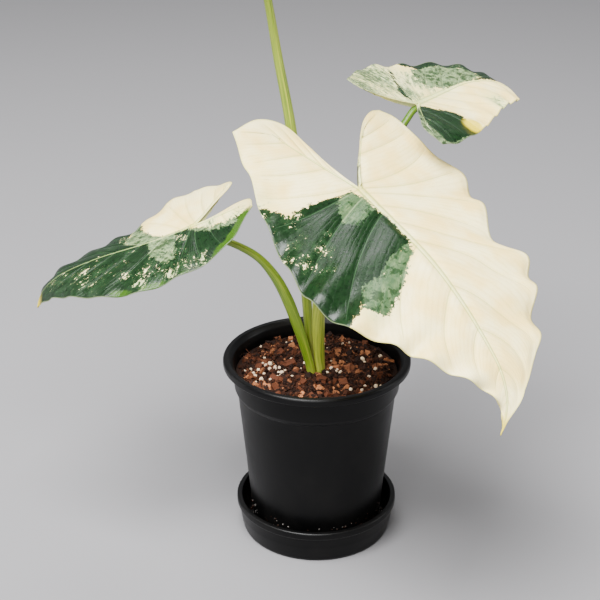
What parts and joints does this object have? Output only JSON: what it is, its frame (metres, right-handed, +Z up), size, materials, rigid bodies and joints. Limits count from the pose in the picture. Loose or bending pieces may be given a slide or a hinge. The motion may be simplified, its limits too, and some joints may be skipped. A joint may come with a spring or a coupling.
{
  "type": "potted plant",
  "caption": "Giant taro with variegated cream and green arrow-shaped leaves on long stalks, in a round black pot that stands in a saucer.",
  "frame": {"origin": "centre of the saucer's underside", "axes": "+Z up out of the pot, +X towards the big cream leaf's side, +Y away from the side that the cream leaf faces"},
  "size_m": [0.4056, 0.3872, 0.5814],
  "materials": {
    "saucer": "satin",
    "pot": "satin",
    "potting_mix": "rough",
    "rootstock": "satin",
    "leaf_front": "satin",
    "leaf_left": "satin",
    "leaf_back": "satin",
    "leaf_tall": "satin"
  },
  "bodies": {
    "root": {"saucer": "saucer", "pot": "pot", "potting_mix": "potting_mix", "rootstock": "rootstock", "leaf_front": "leaf_front", "leaf_left": "leaf_left", "leaf_back": "leaf_back", "leaf_tall": "leaf_tall"}
  },
  "joints": []
}
